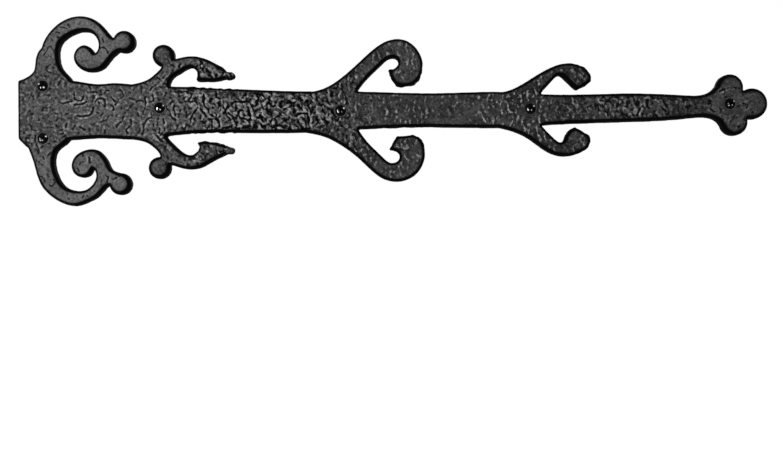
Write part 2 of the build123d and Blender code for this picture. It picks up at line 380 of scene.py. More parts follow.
def makeScrewBlank():
    cut = screwCut
    top, tip = screwLow.y / mm, screwHigh.y / mm
    rim = top + cut["headRise"]
    headRadius = screwPlaces[0][0] / mm - screwLow.x / mm
    dome = (headRadius ** 2 + cut["headRise"] ** 2) / (2 * cut["headRise"])  # radius of the domed face
    rings = []
    for step in range(1, cut["domeRings"] + 1):
        radius = headRadius * step / cut["domeRings"]
        rings.append((top + dome - math.sqrt(dome ** 2 - radius ** 2), radius))
    rings += [(rim + cut["rimBand"], headRadius - cut["rimDraw"]),
              (rim + headRadius - cut["shankRadius"], cut["shankRadius"]),
              (cut["threadStart"] - cut["shankEnd"], cut["shankRadius"]),
              (cut["threadStart"] - cut["rootEnd"], cut["rootRadius"])]
    y = cut["threadStart"]
    while y < tip - cut["lastRing"]:
        rings.append((y, None))
        y += cut["ringStep"]
    shape = bmesh.new()
    loops = []
    for y, radius in rings:
        loop = []
        for side in range(cut["sides"]):
            angle = math.tau * side / cut["sides"]
            reach = threadRadius(y, angle) if radius is None else radius
            loop.append(shape.verts.new((reach * math.cos(angle), y, reach * math.sin(angle))))
        loops.append(loop)
    ends = shape.verts.new((0, top, 0)), shape.verts.new((0, tip, 0))
    for side in range(cut["sides"]):
        after = (side + 1) % cut["sides"]
        shape.faces.new((ends[0], loops[0][side], loops[0][after]))
        shape.faces.new((ends[1], loops[-1][after], loops[-1][side]))
        for near, far in zip(loops, loops[1:]):
            shape.faces.new((near[side], far[side], far[after], near[after]))
    return shapeToPiece(shape, "screwBlank")


def makeRecessCutter():  # a cross that narrows towards its foot, about the screw's axis
    cut = screwCut
    top = screwLow.y / mm
    shape = bmesh.new()
    for turn in (0, 90):
        made = bmesh.ops.create_cube(shape, size=1)["verts"]
        for vert in made:
            above = vert.co.y < 0
            span = cut["recessSpan"] + cut["recessFlare"] if above else cut["recessFoot"]
            depth = top - cut["recessClear"] if above else top + cut["recessDepth"]
            vert.co = Vector((math.copysign(span / 2, vert.co.x), depth,
                              math.copysign(cut["wingWidth"] / 2, vert.co.z)))
        bmesh.ops.rotate(shape, verts=made, cent=(0, 0, 0), matrix=Matrix.Rotation(math.radians(turn), 3, "Y"))
    return shapeToPiece(shape, "recessCutter")


def makeScrewTree():  # one screw set at every place, turned as its recess ended up
    tree, given, out = startTree("setScrews", {"screw": "Object", "chipGlints": "Object", "chipGlintReach": "Float",
                                               "finish": "Material"})
    turn = addNode(tree, "GeometryNodeInputNamedAttribute", {"Name": "turn"}, data_type="FLOAT")[0]
    spin = addNode(tree, "ShaderNodeCombineXYZ", {"Y": turn})[0]
    screw, spots = (addNode(tree, "GeometryNodeObjectInfo", {"Object": given[name]})["Geometry"]
                    for name in ("screw", "chipGlints"))
    placed = addNode(tree, "GeometryNodeInstanceOnPoints",
                     {"Points": given["Geometry"], "Instance": screw, "Rotation": spin})[0]
    real = addNode(tree, "GeometryNodeRealizeInstances", {"Geometry": placed})[0]
    # painted glints: bright bare-steel chips round the given spots on each head
    near = addNode(tree, "GeometryNodeProximity", {"Geometry": spots}, target_element="POINTS")["Distance"]
    inner = addNode(tree, "ShaderNodeMath", {0: given["chipGlintReach"], 1: screwCut["chipGlintCore"]},
                    operation="MULTIPLY")[0]
    chip = addNode(tree, "ShaderNodeMapRange", {0: near, 1: given["chipGlintReach"], 2: inner})[0]
    real = addNode(tree, "GeometryNodeStoreNamedAttribute",
                   {"Geometry": real, "Name": "chip", "Value": chip}, data_type="FLOAT", domain="POINT")[0]
    finished = addNode(tree, "GeometryNodeSetMaterial", {"Geometry": real, "Material": given["finish"]})[0]
    tree.links.new(finished, out["Geometry"])
    return tree


def makeScrews():
    cut = screwCut
    blank, cutter = makeScrewBlank(), makeRecessCutter()
    recess = blank.modifiers.new("recess", "BOOLEAN")
    recess.operation = "DIFFERENCE"
    recess.solver = "EXACT"
    recess.use_self = True
    recess.object = cutter
    blank.data = weld(makePlain(blank), "screwBlank")
    mesh = newMesh("strapScrews", [(x, 0, z) for x, z in screwPlaces])
    turn = mesh.attributes.new("turn", "FLOAT", "POINT")
    turn.data.foreach_set("value", [math.radians(t) for t in cut["turns"]])
    piece = newPiece("strapScrews", mesh)
    spots = [(x + dx * mm, screwLow.y + cut["chipGlintDepth"] * mm, z + dz * mm)
             for (x, z), chipGlints in zip(screwPlaces, cut["chipGlints"]) for dx, dz in chipGlints]
    chipSpots = newPiece("chipSpots", newMesh("chipSpots", spots))
    hangTree(piece, makeScrewTree(), {"screw": blank, "chipGlints": chipSpots, "chipGlintReach": cut["chipGlintReach"] * mm,
                                      "finish": makeScrewMaterial()})
    mesh = makePlain(piece)
    mesh.shade_smooth()
    mesh.set_sharp_from_angle(angle=math.radians(cut["sharpFrom"]))
    for helper in (blank, cutter, chipSpots):
        bpy.data.objects.remove(helper)
    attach(piece, "root")
    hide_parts("screws")
    return piece


makeScrews()
print("screws set")

# Strap: the cast plate with its edges softened and its front left rough from the mould
strapCast = {
    "voxel": 0.5,                # mm, net that the casting is drawn on
    "thinTo": 0.42,              # share of faces kept, flat back first to go
    "screwFace": 5.5,            # mm from the back to the front face
    "tips": [(130.0, 20.9), (129.7, -24.4)],  # mm, (x, z) of the leaf tips, which keep the front's finish
    "lengths": {                 # mm
        "bendSize": 7.0,         # drift that keeps every pattern from looking ruled
        "bend": 7.0,
        "wormSize": 9.0,         # creases that curl over the neck
        "wormDepth": 0.26,
        "markWidth": 0.42,       # half the width of the marks that stand out
        "markDepth": 0.36,
        "faintDepth": 0.17,
        "lipHeight": 0.04,       # metal thrown up to the lower right of each mark
        "gritSize": 1.8,         # fine unevenness all over
        "gritHeight": 0.10,
        "barkAlong": 4.9,        # crowded leaning knobs beyond the first fork
        "barkAcross": 6.9,
        "barkHeight": 1.1,
        "clumpSize": 15.0,       # patches where the knobs crowd or thin out
        "fleckAlong": 2.0,       # upright flecks along the tail
        "fleckAcross": 5.2,
        "fleckHeight": 0.42,
        "swellSize": 22.0,       # slow unevenness of the front
        "swellHeight": 0.25,
        "wobbleSize": 4.0,       # unevenness of the outline, most at the tips of the branches
        "wobble": 2.4,
        "fullness": 0.15,        # the outline stands out over the drawn one
        "screwClear": 5.2,       # round each screw, where the relief is left out
        "screwHalo": 0.10,       # lip round each countersink
        "tipTrim": 0.9,          # the leaf tips are slimmer than the drawn ones
    },
    "plain": {"barkLean": 0.35, "seed": 3.0},
    "passes": {                  # rounds of blurring
        "softening": 3,          # edges
        "rimSpread": 16,         # painted shade of the dark rim, spread in over the front
        "groundSpread": 14,      # ground that the relief is measured from
    },
    # where each effect starts and is full
    "screwRings": (0.65, 0.82),  # shares of screwClear: plain ground, and the outer end of the halo
    "tipFinish": (2.2, 1.2),     # mm from a leaf tip
    "tipNeck": (5.0, 3.0),
    "tipSlim": (5.5, 3.0),
    "neckRim": 0.93,             # keeps the necks of the leaf tips from going all black with the rim's painted shade
    "wormEdge": (1.4, 1.7),
    "markBend": 0.12,            # share of the drift that the marks take
    "markNoise": 330.0,          # per metre, unevenness along a mark
    "markSpread": (0.5, 1.4),
    "markEdge": (2.0, 0.4),      # shares of a mark's width
    "lipEdge": (2.2, 0.4),
    "lipShift": 0.9,             # mm
    "gritEdge": (0.4, 0.72),
    "coarseEnd": (0.21, 0.3),    # share of the length, where the grit is coarser
    "coarseGain": (1.8, 1.0),
    "scrollSide": (21, 27),      # mm from the middle line, where the grit is finer
    "scrollGain": (1.0, 0.5),
    "clumpEdge": (0.36, 0.6),
    "clumpGain": (0.4, 1.3),
    "fleckEdge": (0.5, 0.7),
    "frontEdge": (0.55, 0.9),    # how squarely the front faces forward
    "sideEdge": (0.8, 0.4),
    "branchInner": (10, 13),     # mm from the middle line, where the outline wobbles
    "branchOuter": (25, 28),
    "leastWobble": 0.12,
    "sideBelow": 0.5,            # facing, under which a face is a side or a back
    "backBelow": -0.7,
    # share of each from the butt edge, 0, to the tip of the finial, 1
    "wobbleShare": [(0, 0.12), (0.22, 0.12), (0.24, 1), (0.28, 1), (0.3, 0.12), (0.48, 0.12), (0.5, 1), (0.54, 1),
                    (0.56, 0.12), (0.72, 0.12), (0.735, 0.5), (0.765, 0.5), (0.78, 0.12), (1, 0.12)],
    "wormShare": [(0, 0.3), (0.05, 0.4), (0.1, 0.15), (0.2, 0.2), (0.25, 0.9), (0.42, 0.6), (0.47, 0.2), (0.7, 0.2),
                  (0.8, 0.7), (0.9, 0.5), (1, 0.3)],
    "barkShare": [(0, 0.12), (0.13, 0.14), (0.18, 0.25), (0.22, 0.55), (0.27, 0.72), (0.32, 0.98), (0.37, 1),
                  (0.41, 0.65), (0.47, 0.32), (0.55, 0.17), (0.66, 0.2), (0.8, 0.62), (0.88, 0.42), (0.93, 0.11),
                  (1, 0.11)],
    "fleckShare": [(0, 0.02), (0.38, 0.08), (0.44, 0.6), (0.53, 0.6), (0.58, 0.34), (0.605, 0.4), (0.625, 1),
                   (0.69, 1), (0.71, 0.4), (0.92, 0.14), (1, 0.06)],
}
# Marks that the mould left in the front, as points (x, z) in mm: deep ones and faint ones
deepMarks = [
    [(34.9, 11.2), (34.7, 8.4), (35.7, 6.4), (37.8, 5.7), (39.5, 6.6), (40, 9)],
    [(35.2, 3.5), (37.5, 3.7), (39.7, 4.2), (42.2, 5.4)],
    [(25.2, 5.5), (26.9, 4.5), (28.8, 4.7), (31, 5.1), (33, 5.6)],
    [(46.7, 1.8), (45.9, -0.1), (44.7, -2.2), (41.8, -3.2), (39, -3.5), (36.8, -3)],
    [(47.8, 5.8), (49, 6.9), (51.5, 7.3), (53.2, 6.1), (53.5, 4.5), (53.2, 2.4)],
    [(57.4, 7.8), (58.7, 6.4), (60.1, 5.3)], [(59.9, 3.7), (61.6, 5.1)],
    [(56.9, 3.3), (58, 2.6), (58.8, 1.4), (58.3, 0.2)],
    [(69.2, -6.1), (69.5, -7.7), (68.8, -9.2), (67.3, -10.6), (66.3, -12.3), (67.1, -14.2)],
    [(62.9, -7), (61.1, -8.9), (60.4, -10.6)], [(43.6, 14.9), (44.4, 14.2), (44.8, 13)],
    [(37.7, -10), (39.3, -11.1), (41.1, -11.7)], [(29.7, -7.8), (29.3, -10.1)],
    [(84.5, 15.5), (82.2, 13.7), (80.9, 11.9)],
    [(78.5, 8.1), (77.7, 7.4), (78.2, 4.5), (78, 2.5), (77.3, 0.2), (76.6, -1.4)], [(82.3, 9.1), (83.2, 6.1)],
    [(80.8, 5.1), (83.5, 5.5)], [(95.9, 2.7), (95.2, 0.7), (95.8, -1.3), (96, -3.6)],
    [(90.4, 2.4), (91.4, 0.6), (93, -0.6), (93.5, -2.9), (94.6, -4.9), (96.2, -6)],
    [(81.8, -4.5), (79.8, -5.1), (77.9, -7.4), (76.9, -9.7), (76.8, -12.4)], [(89, -5.5), (89.3, -8)],
    [(102.9, -9.2), (101.5, -12.3)],
    [(106.3, 10.2), (105.5, 7.6), (104.5, 5.6), (105.3, 4.8), (108.3, 5.1), (109.7, 3.3), (109.6, 1.3),
     (107.9, -1), (105.9, -4.3), (105.4, -7.6)], [(94.2, 22.5), (92, 20.2), (89.8, 17.1)],
    [(95.1, 21.9), (92.8, 19.2), (90.8, 16.3)], [(95.1, 19.9), (92.5, 16.6)], [(93.3, 15.9), (89.2, 16.1)],
    [(88.5, 14.3), (93.9, 14.3)], [(99.8, 28.2), (98.7, 26.1)], [(86.6, -11.1), (86.3, -13.8)],
    [(88, -13.9), (87, -15.6)], [(88.3, -15.2), (93.1, -14.9)], [(85, -15.7), (87, -18.1), (88.6, -19.4)],
    [(88.3, -16.8), (90.9, -17.6), (93.6, -20.1)], [(89.6, -16.4), (92.9, -17.1)],
    [(128.5, -2), (131, -4), (131.8, -6.9), (130.5, -9.7), (127.7, -10.9), (124.8, -11.2)],
    [(139.6, -1.2), (136.7, -0.5), (135.1, -1.8), (134.8, -4.1), (136.9, -5.9)],
    [(122.5, 7), (123.7, 5), (123.4, 2.1), (122.3, 0.8)], [(125.7, -2.1), (127.7, 0.5), (129.1, 1.9)],
    [(113.1, 7.9), (113.3, 5.1), (114.3, 2.2), (116.7, 0.5)],
    [(116.7, -5.6), (120.8, -6), (122.8, -8.1), (122.8, -10.5)],
    [(130.6, 3.3), (131.8, 4.5), (138.8, 4.7), (139.8, 5.7)], [(140.4, 1.6), (141.6, -1.6), (142.4, -5.7)],
    [(145.3, 5.7), (146.7, 3.1)], [(149, 3.2), (149.9, 0.2)],
    [(153.5, 8.1), (153.1, 5.6), (154.3, 2.4), (157.1, 2.3)], [(155.2, -5.8), (153.4, -8.7), (150.1, -9.9)],
    [(162.4, -0.1), (165.7, 1.5), (169.1, 1.9)], [(171, -2.6), (175.5, -2.7), (177.2, -4.7)],
    [(148.6, 9.7), (151.2, 6.3)], [(121, 11), (121, 8), (123.5, 6.5), (122.5, 3.5), (124, 2), (123.5, -0.5)],
    [(128, 1.5), (126, -2)], [(129, -2.5), (131, -4.5), (132, -7.5), (130.5, -10), (127, -11.5)],
    [(131, 3.5), (133.5, 5), (139.5, 5)], [(137, 0), (134.5, -1), (134, -4)],
    [(111.5, 0.5), (113.5, -1.5), (115, -4)], [(116.5, 0.5), (116.5, -2), (118, -3.5), (122, -6), (123, -9.5)],
    [(113.5, 9.5), (114, 6)], [(118.5, -8.5), (118.5, -12)], [(142, 4), (143.5, 0)],
    [(136.5, -5), (139.5, -6), (142, -8.5)], [(10.9, -15), (10.9, -19), (13, -23), (15.4, -21.8)],
    [(53.4, -39.7), (54.9, -40.9), (54.3, -43.6)], [(209.5, 10.6), (205.7, 12.4)],
    [(207.8, -14.2), (205, -12.3)], [(319.5, 8.4), (316.9, 9.9)], [(319.8, -11), (316.8, -11.7)],
    [(230.2, -24), (234.9, -25.5)], [(377.8, -4.9), (379.4, -1.1), (381.1, 1)], [(392.5, -0.1), (395.1, -2.8)],
    [(427.9, 9.5), (431.7, 11.1), (436.6, 11.6), (439.9, 11)], [(422.4, -1.3), (424.6, -3)],
    [(442, 1.8), (444.7, 0.7), (444.1, -0.9)], [(427.3, -6.3), (430, -7.9)],
    [(18.3, -27.8), (19.4, -26.8), (20.2, -25.6)], [(43.5, -28.3), (43.8, -30.2), (44.1, -31.7)],
    [(37.9, -33), (38.5, -31.7), (40, -31)], [(58, -42.1), (60.1, -41.2), (62.4, -40.3)],
    [(50.8, 38.1), (52.8, 38), (54.5, 36.9), (55.3, 35)], [(61.8, 43.3), (61.2, 41.5), (62.3, 39.7)],
]
faintMarks = [
    [(49.3, 5.5), (49.9, 4.2)],
    [(62.7, 12.6), (63.7, 11.2), (64.7, 9.1), (64.3, 8.2), (61.9, 6.9), (61.5, 6.4)],
    [(70.2, 3.8), (69.2, 2.6), (67.8, 0.9), (67.2, -0.1)], [(63.3, 2.1), (63.6, 0.9)],
    [(65.6, -1.8), (64.7, -3.9), (64, -6.3)], [(55.5, -3.4), (54.1, -5.9)], [(52.4, -6), (50.7, -6.9)],
    [(48.4, -1), (49.6, -1.9)], [(51.9, -1.8), (51.2, -2.7)], [(47.8, 13.6), (48.6, 13.9)],
    [(46.1, 9.2), (46.9, 7.4), (45.9, 6.1), (45.8, 5.2)], [(44.4, 10.9), (46.6, 11.1), (48.3, 11.1)],
    [(50.8, 12.6), (50.6, 11.4), (51.2, 10), (49.7, 9.4)], [(53.1, 10.4), (54.3, 11.8), (56.2, 12.1)],
    [(35.3, -8.7), (34.5, -10.3), (33.5, -11.5)], [(29.7, -2.2), (31.3, -1.5)], [(36.2, -3), (35.3, -4.6)],
    [(25.3, -12.4), (27.5, -11.6)], [(25.9, -14.4), (27.9, -13.8)], [(26.8, -17.1), (29.2, -15.1)],
    [(30.1, 17), (30.2, 14.8)], [(25.9, 17.8), (24.8, 15.6)], [(23.2, 8), (24.2, 8.1)],
    [(53.1, -12.1), (52.9, -14.1)], [(22.9, -1.6), (23.8, -1.9)], [(75.6, 14.7), (75.6, 10.1)],
    [(68.6, 7.5), (70.7, 6.2)], [(72.2, 5.2), (74.9, 6), (76.9, 5.6)], [(86.3, 6), (88.4, 6.9)],
    [(93.2, 3.6), (95.2, 5.8)], [(99.3, 0), (98.4, -2.7)], [(97.1, -4.6), (98.5, -3.9)],
    [(104.5, -2.2), (102.9, -4)], [(81.5, -1.5), (81.8, -2.9)], [(82.9, -8.5), (83.1, -9.9)],
    [(86.1, -4.8), (85.4, -7.3)], [(93.5, -10.5), (93.5, -12.2)], [(97.3, -9.9), (96.8, -12.2)],
    [(89.7, -10.8), (89.6, -12.5)], [(97.4, 10.6), (101.4, 11.1)], [(102.8, 11.2), (103.7, 10.2)],
    [(96.7, 7.6), (98.7, 5.9)], [(100.3, 6.3), (102.4, 7.9)], [(93.3, 12), (93.7, 10.6)],
    [(90.5, 10.7), (89.8, 8.7)], [(92.4, 7.7), (93.5, 7.5)], [(77.3, 16.4), (78.6, 15.6)],
    [(85.2, 19.9), (86.7, 19)], [(90, 20.9), (88.8, 19.5)], [(86.8, 14.4), (88.2, 13.3)],
    [(95.7, 25.7), (94.8, 23.7)], [(93.9, 27.5), (96.2, 26.1)], [(74.5, -12), (73.7, -13.8)],
    [(76.8, -12.7), (76.1, -15.1)], [(68.5, -7.7), (69.6, -8.7)], [(73.7, -1.7), (73.5, -2.9)],
    [(76.5, -2.6), (78.2, -2.8)], [(15.2, -28), (16.2, -29.6)], [(36.4, -35), (37.4, -36.9)],
    [(61, -41.8), (61.7, -43.6)], [(38.6, -53.4), (40, -51.9)], [(21.5, -41.7), (22.7, -43.3), (21.4, -45)],
    [(19.4, -45.2), (21.1, -46)], [(39.8, -25.7), (39.5, -27)], [(26.1, 51.1), (27.9, 50.8), (30.1, 50.2)],
    [(23.6, 47.6), (24.8, 48), (26.3, 47.4)], [(24.2, 45.5), (25.4, 44.3)],
    [(16.2, 34.1), (17.9, 36.4), (19.6, 39.2), (21.7, 37.4)], [(17.5, 25.3), (18.7, 26.6), (20.4, 28.5)],
    [(18, 24.9), (18.9, 23.7), (20.4, 23)], [(65.6, 44.3), (66, 43.1), (66.9, 42.3)],
    [(67.6, 44.5), (68.2, 43.1), (69, 41.8)], [(69, 40.5), (67.7, 38.8), (66, 37.7)],
    [(52.1, 43.9), (52.8, 41.3)],
]


def makeStrapTree():
    cast = strapCast
    drawn = ("screwPlaces", "leafTips", "deepMarks", "faintMarks")
    inputs = {name: "Float" for name in ("strapLength", *cast["lengths"], *cast["plain"])}
    inputs |= {name: "Int" for name in cast["passes"]}
    inputs |= {name: "Object" for name in drawn} | {name: "Material" for name in ("front", "side", "back")}
    tree, given, out = startTree("castSkin", inputs)
    shapes = {name: addNode(tree, "GeometryNodeObjectInfo", {"Object": given[name]})["Geometry"] for name in drawn}
    scale = {name: addNode(tree, "ShaderNodeMath", {0: 1.0, 1: given[name + "Size"]}, operation="DIVIDE")[0]
             for name in ("bend", "worm", "grit", "clump", "swell", "wobble")}

    # rounded edges
    place = addNode(tree, "GeometryNodeInputPosition")[0]
    eased = addNode(tree, "GeometryNodeBlurAttribute", {0: place, "Iterations": given["softening"]},
                    data_type="FLOAT_VECTOR")[0]
    soft = addNode(tree, "GeometryNodeSetPosition", {"Geometry": given["Geometry"], "Position": eased})[0]

    # how far each point faces forward, as it is and spread into a rim that the front's colour darkens as painted
    # shade, away from the screws and leaf tips
    normal = addNode(tree, "GeometryNodeInputNormal")[0]
    facing = addNode(tree, "ShaderNodeVectorMath", {0: normal, 1: (0, -1, 0)}, operation="DOT_PRODUCT")["Value"]
    soft = addNode(tree, "GeometryNodeStoreNamedAttribute",
                   {"Geometry": soft, "Name": "front", "Value": facing}, data_type="FLOAT", domain="POINT")[0]
    front = addNode(tree, "GeometryNodeInputNamedAttribute", {"Name": "front"}, data_type="FLOAT")[0]
    near = addNode(tree, "GeometryNodeProximity", {"Geometry": shapes["screwPlaces"]},
                   target_element="POINTS")["Distance"]
    clear, ring = (addNode(tree, "ShaderNodeMath", {0: given["screwClear"], 1: part}, operation="MULTIPLY")[0]
                   for part in cast["screwRings"])
    calm = addNode(tree, "ShaderNodeMapRange", {0: near, 1: clear, 2: given["screwClear"]},
                   interpolation_type="SMOOTHSTEP")[0]
    rim = addNode(tree, "GeometryNodeBlurAttribute", {0: front, "Iterations": given["rimSpread"]},
                  data_type="FLOAT")[0]
    rim = addNode(tree, "ShaderNodeMix", {0: calm, 2: 1.0, 3: rim}, data_type="FLOAT")[0]
    nearTip = addNode(tree, "GeometryNodeProximity", {"Geometry": shapes["leafTips"]},
                      target_element="POINTS")["Distance"]
    onTip = addNode(tree, "ShaderNodeMapRange", {0: nearTip} | spans(cast["tipFinish"], unit=mm))[0]
    behindTip = addNode(tree, "ShaderNodeMapRange",
                        {0: nearTip} | spans(cast["tipNeck"], (0.0, cast["neckRim"]), mm))[0]
    for kept in (onTip, behindTip):
        rim = addNode(tree, "ShaderNodeMath", {0: rim, 1: kept}, operation="MAXIMUM")[0]
    soft = addNode(tree, "GeometryNodeStoreNamedAttribute",
                   {"Geometry": soft, "Name": "rim", "Value": rim}, data_type="FLOAT", domain="POINT")[0]

    # where along the strap, and how far from its middle line
    split = addNode(tree, "ShaderNodeSeparateXYZ", {0: place})
    along = addNode(tree, "ShaderNodeMath", {0: split["X"], 1: given["strapLength"]}, operation="DIVIDE")[0]
    outFrom = addNode(tree, "ShaderNodeMath", {0: split["Z"]}, operation="ABSOLUTE")[0]
    share = {name: addNode(tree, "ShaderNodeFloatCurve", {"Value": along}, cast[name + "Share"])[0]
             for name in ("worm", "bark", "fleck", "wobble")}

    # a bent copy of each place
    bend = addNode(tree, "ShaderNodeTexNoise", {"Vector": place, "Scale": scale["bend"], "Detail": 2.5})["Color"]
    bend = addNode(tree, "ShaderNodeVectorMath", {0: bend, 1: (0.5, 0.5, 0.5)}, operation="SUBTRACT")[0]
    bend = addNode(tree, "ShaderNodeVectorMath", {0: bend, "Scale": given["bend"]}, operation="SCALE")[0]
    bent = addNode(tree, "ShaderNodeVectorMath", {0: place, 1: bend}, operation="ADD")[0]
    lessBent = addNode(tree, "ShaderNodeVectorMath", {0: bend, 1: (cast["markBend"],) * 3, 2: place},
                       operation="MULTIPLY_ADD")[0]

    # creases that curl over the neck
    worm = addNode(tree, "ShaderNodeTexNoise", {"Vector": bent, "Scale": scale["worm"], "Detail": 2.0,
                                                "Roughness": 0.6, "Offset": 1.0, "Gain": 2.0},
                   noise_type="RIDGED_MULTIFRACTAL")[0]
    worm = addNode(tree, "ShaderNodeMapRange", {0: worm} | spans(cast["wormEdge"]),
                   interpolation_type="SMOOTHSTEP")[0]
    for factor in (share["worm"], given["wormDepth"]):
        worm = addNode(tree, "ShaderNodeMath", {0: worm, 1: factor}, operation="MULTIPLY")[0]

    # the marks, a little uneven in width, with a lip beside the deep ones
    uneven = addNode(tree, "ShaderNodeTexNoise", {"Vector": place, "Scale": cast["markNoise"], "Detail": 1.0})[0]
    uneven = addNode(tree, "ShaderNodeMapRange", {0: uneven} | spans(noiseRange, cast["markSpread"]))[0]
    brim = addNode(tree, "ShaderNodeMath", {0: given["markWidth"], 1: uneven}, operation="MULTIPLY")[0]
    shift = cast["lipShift"] * mm
    beside = addNode(tree, "ShaderNodeVectorMath", {0: lessBent, 1: (-shift, 0, shift)}, operation="ADD")[0]
    line = {}
    for name, drawing, spot, ends, top in (("deep", "deepMarks", lessBent, "markEdge", 1.0),
                                           ("faint", "faintMarks", lessBent, "markEdge", given["faintDepth"]),
                                           ("lip", "deepMarks", beside, "lipEdge", given["lipHeight"])):
        away = addNode(tree, "GeometryNodeProximity", {"Geometry": shapes[drawing], "Sample Position": spot},
                       target_element="EDGES")["Distance"]
        away = addNode(tree, "ShaderNodeMath", {0: away, 1: brim}, operation="DIVIDE")[0]
        line[name] = addNode(tree, "ShaderNodeMapRange", {0: away} | spans(cast[ends], (0.0, top)),
                             interpolation_type="SMOOTHSTEP")[0]
    mark = line["deep"]
    for factor in (uneven, given["markDepth"]):
        mark = addNode(tree, "ShaderNodeMath", {0: mark, 1: factor}, operation="MULTIPLY")[0]
    mark = addNode(tree, "ShaderNodeMath", {0: mark, 1: line["faint"]}, operation="MAXIMUM")[0]

    # grit, coarser at the butt and finer on the scrolls
    grit = addNode(tree, "ShaderNodeTexNoise",
                   {"Vector": place, "W": given["seed"], "Scale": scale["grit"], "Detail": 2.0},
                   noise_dimensions="4D")[0]
    grit = addNode(tree, "ShaderNodeMapRange", {0: grit} | spans(cast["gritEdge"]))[0]
    coarse = addNode(tree, "ShaderNodeMapRange", {0: along} | spans(cast["coarseEnd"], cast["coarseGain"]))[0]
    smoother = addNode(tree, "ShaderNodeMapRange",
                       {0: outFrom} | spans(cast["scrollSide"], cast["scrollGain"], mm))[0]
    for factor in (coarse, smoother):
        grit = addNode(tree, "ShaderNodeMath", {0: grit, 1: factor}, operation="MULTIPLY")[0]
    grit = addNode(tree, "ShaderNodeMath", {0: grit, 1: given["gritHeight"], 2: line["lip"]},
                   operation="MULTIPLY_ADD")[0]

    # crowded knobs that lean over, and upright flecks
    bentSplit = addNode(tree, "ShaderNodeSeparateXYZ", {0: bent})
    slant = addNode(tree, "ShaderNodeMath", {0: bentSplit["Z"], 1: given["barkLean"], 2: bentSplit["X"]},
                    operation="MULTIPLY_ADD")[0]
    pattern = {}
    for name, lengthwise, detail, roughness in (("bark", slant, 4.0, 0.65), ("fleck", bentSplit["X"], 2.0, 0.6)):
        gridX = addNode(tree, "ShaderNodeMath", {0: lengthwise, 1: given[name + "Along"]}, operation="DIVIDE")[0]
        gridZ = addNode(tree, "ShaderNodeMath", {0: bentSplit["Z"], 1: given[name + "Across"]}, operation="DIVIDE")[0]
        spot = addNode(tree, "ShaderNodeCombineXYZ", {"X": gridX, "Z": gridZ})[0]
        pattern[name] = addNode(tree, "ShaderNodeTexNoise",
                                {"Vector": spot, "W": given["seed"], "Scale": 1.0, "Detail": detail,
                                 "Roughness": roughness}, noise_dimensions="4D")[0]
    bark = addNode(tree, "ShaderNodeMapRange", {0: pattern["bark"]} | spans(noiseRange, (-0.5, 0.5)))[0]
    clump = addNode(tree, "ShaderNodeTexNoise",
                    {"Vector": bent, "W": given["seed"], "Scale": scale["clump"], "Detail": 1.0},
                    noise_dimensions="4D")[0]
    clump = addNode(tree, "ShaderNodeMapRange", {0: clump} | spans(cast["clumpEdge"], cast["clumpGain"]))[0]
    for factor in (clump, share["bark"], given["barkHeight"]):
        bark = addNode(tree, "ShaderNodeMath", {0: bark, 1: factor}, operation="MULTIPLY")[0]
    fleck = addNode(tree, "ShaderNodeMapRange", {0: pattern["fleck"]} | spans(cast["fleckEdge"]),
                    interpolation_type="SMOOTHSTEP")[0]
    for factor in (share["fleck"], given["fleckHeight"]):
        fleck = addNode(tree, "ShaderNodeMath", {0: fleck, 1: factor}, operation="MULTIPLY")[0]

    # all together, plain round each screw, and only on what faces forward
    sunk = addNode(tree, "ShaderNodeMath", {0: mark, 1: worm}, operation="MAXIMUM")[0]
    height = addNode(tree, "ShaderNodeMath", {0: bark, 1: sunk}, operation="SUBTRACT")[0]
    for part in (fleck, grit):
        height = addNode(tree, "ShaderNodeMath", {0: height, 1: part}, operation="ADD")[0]
    halo = addNode(tree, "ShaderNodeMapRange", {0: near, 1: ring, 2: clear, 4: given["screwHalo"]},
                   interpolation_type="SMOOTHSTEP")[0]
    height = addNode(tree, "ShaderNodeMath", {0: height, 1: calm, 2: halo}, operation="MULTIPLY_ADD")[0]
    faceOn = addNode(tree, "ShaderNodeMapRange", {0: front} | spans(cast["frontEdge"]),
                     interpolation_type="SMOOTHSTEP")[0]
    height = addNode(tree, "ShaderNodeMath", {0: height, 1: faceOn}, operation="MULTIPLY")[0]
    soft = addNode(tree, "GeometryNodeStoreNamedAttribute",
                   {"Geometry": soft, "Name": "height", "Value": height}, data_type="FLOAT", domain="POINT")[0]

    # relief against the ground round it, for the front's painted highlight on the crests and painted shade in the
    # pits
    height = addNode(tree, "GeometryNodeInputNamedAttribute", {"Name": "height"}, data_type="FLOAT")[0]
    ground = addNode(tree, "GeometryNodeBlurAttribute", {0: height, "Iterations": given["groundSpread"]},
                     data_type="FLOAT")[0]
    relief = addNode(tree, "ShaderNodeMath", {0: height, 1: ground}, operation="SUBTRACT")[0]
    soft = addNode(tree, "GeometryNodeStoreNamedAttribute",
                   {"Geometry": soft, "Name": "relief", "Value": relief}, data_type="FLOAT", domain="POINT")[0]

